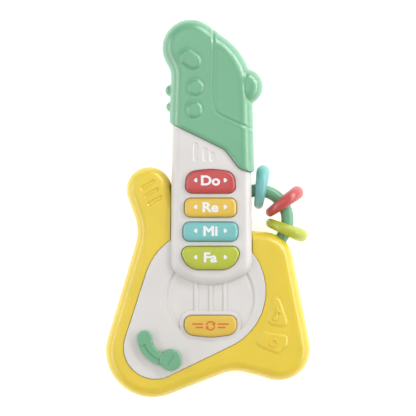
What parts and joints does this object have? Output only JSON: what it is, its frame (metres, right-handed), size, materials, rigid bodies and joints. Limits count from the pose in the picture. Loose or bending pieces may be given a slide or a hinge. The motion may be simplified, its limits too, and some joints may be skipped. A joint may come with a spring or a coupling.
{
  "type": "toy electric guitar",
  "caption": "Small-child electronic guitar: moulded body, key neck with soft headstock cap, rattle rings on an arc, mode button and whammy lever.",
  "frame": {"origin": "on the flat back, under the middle of the sound hole", "axes": "+Z out of the front face, +Y up the neck to the headstock, +X to the right seen from the front"},
  "size_m": [0.1359, 0.251, 0.0385],
  "materials": {
    "yellow_shell": "satin moulded ABS",
    "white_shell": "satin moulded ABS",
    "soft_green": "soft silicone",
    "green_plastic": "satin moulded ABS",
    "red_plastic": "satin moulded ABS",
    "amber_plastic": "satin moulded ABS",
    "blue_plastic": "satin moulded ABS",
    "lime_plastic": "satin moulded ABS",
    "rubber_mat": "matt silicone",
    "circuit_board": "solder mask",
    "black_plastic": "fine texture",
    "cone_paper": "pressed paper",
    "wire_cover": "PVC",
    "cell_cover": "plain wrapped cell",
    "steel": "plated"
  },
  "bodies": {
    "housing": {"body_rear_shell": "yellow_shell", "body_front_shell": "yellow_shell", "neck_rear_shell": "white_shell", "neck_face_plate": "white_shell", "headstock_teether": "soft_green", "rattle_arc": "green_plastic", "key_mat": "rubber_mat", "mode_dome": "rubber_mat", "key_circuit_board": "circuit_board", "main_circuit_board": "circuit_board", "lever_switch": "black_plastic", "power_switch_body": "black_plastic", "speaker_cone": "cone_paper", "speaker_basket": "steel", "speaker_magnet": "steel", "battery_1": "cell_cover", "battery_2": "cell_cover", "battery_bridge": "steel", "battery_positive": "steel", "battery_negative": "steel", "key_lead": "wire_cover", "speaker_lead": "wire_cover", "battery_lead": "wire_cover", "switch_lead": "wire_cover", "body_screw_1": "steel", "body_screw_2": "steel", "body_screw_3": "steel", "body_screw_4": "steel", "body_screw_5": "steel", "body_screw_6": "steel", "neck_screw_1": "steel", "neck_screw_2": "steel", "key_board_screw_1": "steel", "key_board_screw_2": "steel", "main_board_screw_1": "steel", "main_board_screw_2": "steel", "main_board_screw_3": "steel"},
    "key_do": {"key_do": "red_plastic"},
    "key_re": {"key_re": "amber_plastic"},
    "key_mi": {"key_mi": "blue_plastic"},
    "key_fa": {"key_fa": "lime_plastic"},
    "mode_button": {"mode_button": "amber_plastic"},
    "whammy_lever": {"whammy_lever": "green_plastic", "lever_cam": "black_plastic", "lever_screw": "steel"},
    "ring_blue": {"rattle_ring_blue": "blue_plastic"},
    "ring_red": {"rattle_ring_red": "red_plastic"},
    "ring_lime": {"rattle_ring_lime": "lime_plastic"},
    "power_switch": {"power_switch_slider": "black_plastic"},
    "battery_door": {"battery_door": "yellow_shell", "battery_door_screw": "steel"}
  },
  "joints": [
    {"name": "key_do_press", "type": "slide", "parent": "housing", "child": "key_do", "axis": [0, 0, -1], "range_m": [0, 0.002], "stiffness_N_per_m": 200, "springref_m": -0.003},
    {"name": "key_re_press", "type": "slide", "parent": "housing", "child": "key_re", "axis": [0, 0, -1], "range_m": [0, 0.002], "stiffness_N_per_m": 200, "springref_m": -0.003},
    {"name": "key_mi_press", "type": "slide", "parent": "housing", "child": "key_mi", "axis": [0, 0, -1], "range_m": [0, 0.002], "stiffness_N_per_m": 200, "springref_m": -0.003},
    {"name": "key_fa_press", "type": "slide", "parent": "housing", "child": "key_fa", "axis": [0, 0, -1], "range_m": [0, 0.002], "stiffness_N_per_m": 200, "springref_m": -0.003},
    {"name": "mode_button_press", "type": "slide", "parent": "housing", "child": "mode_button", "axis": [0, 0, -1], "range_m": [0, 0.002], "stiffness_N_per_m": 200, "springref_m": -0.003},
    {"name": "whammy_turn", "type": "hinge", "parent": "housing", "child": "whammy_lever", "pos_m": [-0.0263, -0.0415, 0.0319], "axis": [0, 0, 1], "range_deg": [-12, 12]},
    {"name": "ring_blue_swing", "type": "hinge", "parent": "housing", "child": "ring_blue", "pos_m": [0.0317, 0.051, 0.018], "axis": [0, 0, 1], "range_deg": [-5, 2]},
    {"name": "ring_red_swing", "type": "hinge", "parent": "housing", "child": "ring_red", "pos_m": [0.0317, 0.051, 0.018], "axis": [0, 0, 1], "range_deg": [-3, 3]},
    {"name": "ring_lime_swing", "type": "hinge", "parent": "housing", "child": "ring_lime", "pos_m": [0.0317, 0.051, 0.018], "axis": [0, 0, 1], "range_deg": [-5, 3]},
    {"name": "power_switch_slide", "type": "slide", "parent": "housing", "child": "power_switch", "axis": [0, 1, 0], "range_m": [0, 0.004]},
    {"name": "battery_door_lift", "type": "slide", "parent": "housing", "child": "battery_door", "axis": [0, 0, -1], "range_m": [0, 0.012]}
  ]
}
